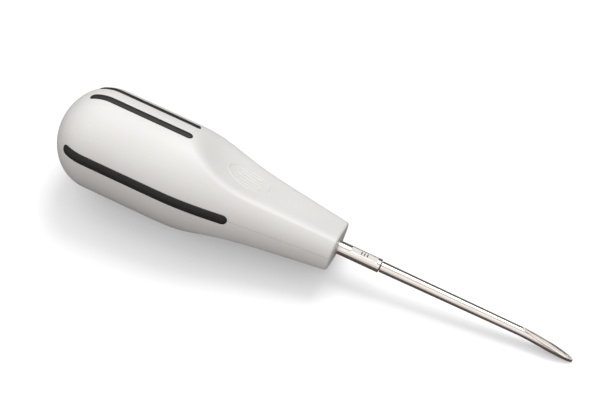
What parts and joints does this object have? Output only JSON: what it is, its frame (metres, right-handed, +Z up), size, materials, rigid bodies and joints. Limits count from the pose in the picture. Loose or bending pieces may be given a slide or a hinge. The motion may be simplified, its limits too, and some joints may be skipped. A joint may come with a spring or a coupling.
{
  "type": "dental elevator",
  "caption": "Luxating dental elevator: bulbous moulded handle with thumb rests and black grip strips, steel collar, and a slim tapered shank ending in a slightly bent gouge blade.",
  "frame": {"origin": "middle of the instrument's length and width, on the surface that it lies on", "axes": "+X from the rear of the handle towards the blade's tip, +Z up, as it lies on its bulb and tip, rolled 30 degrees towards +Y"},
  "size_m": [0.1602, 0.0308, 0.0335],
  "materials": {
    "handle_plastic": "satin moulded light grey, fine eggshell texture",
    "core_plastic": "plain moulded black",
    "grip_rubber": "matt black elastomer",
    "steel": "polished stainless steel with fine turning marks"
  },
  "bodies": {
    "root": {"upper_handle_shell": "handle_plastic", "lower_handle_shell": "handle_plastic", "handle_core": "core_plastic", "upper_left_strip": "grip_rubber", "upper_right_strip": "grip_rubber", "left_side_strip": "grip_rubber", "lower_left_strip": "grip_rubber", "lower_right_strip": "grip_rubber", "right_side_strip": "grip_rubber", "collar": "steel", "shank": "steel"}
  },
  "joints": []
}
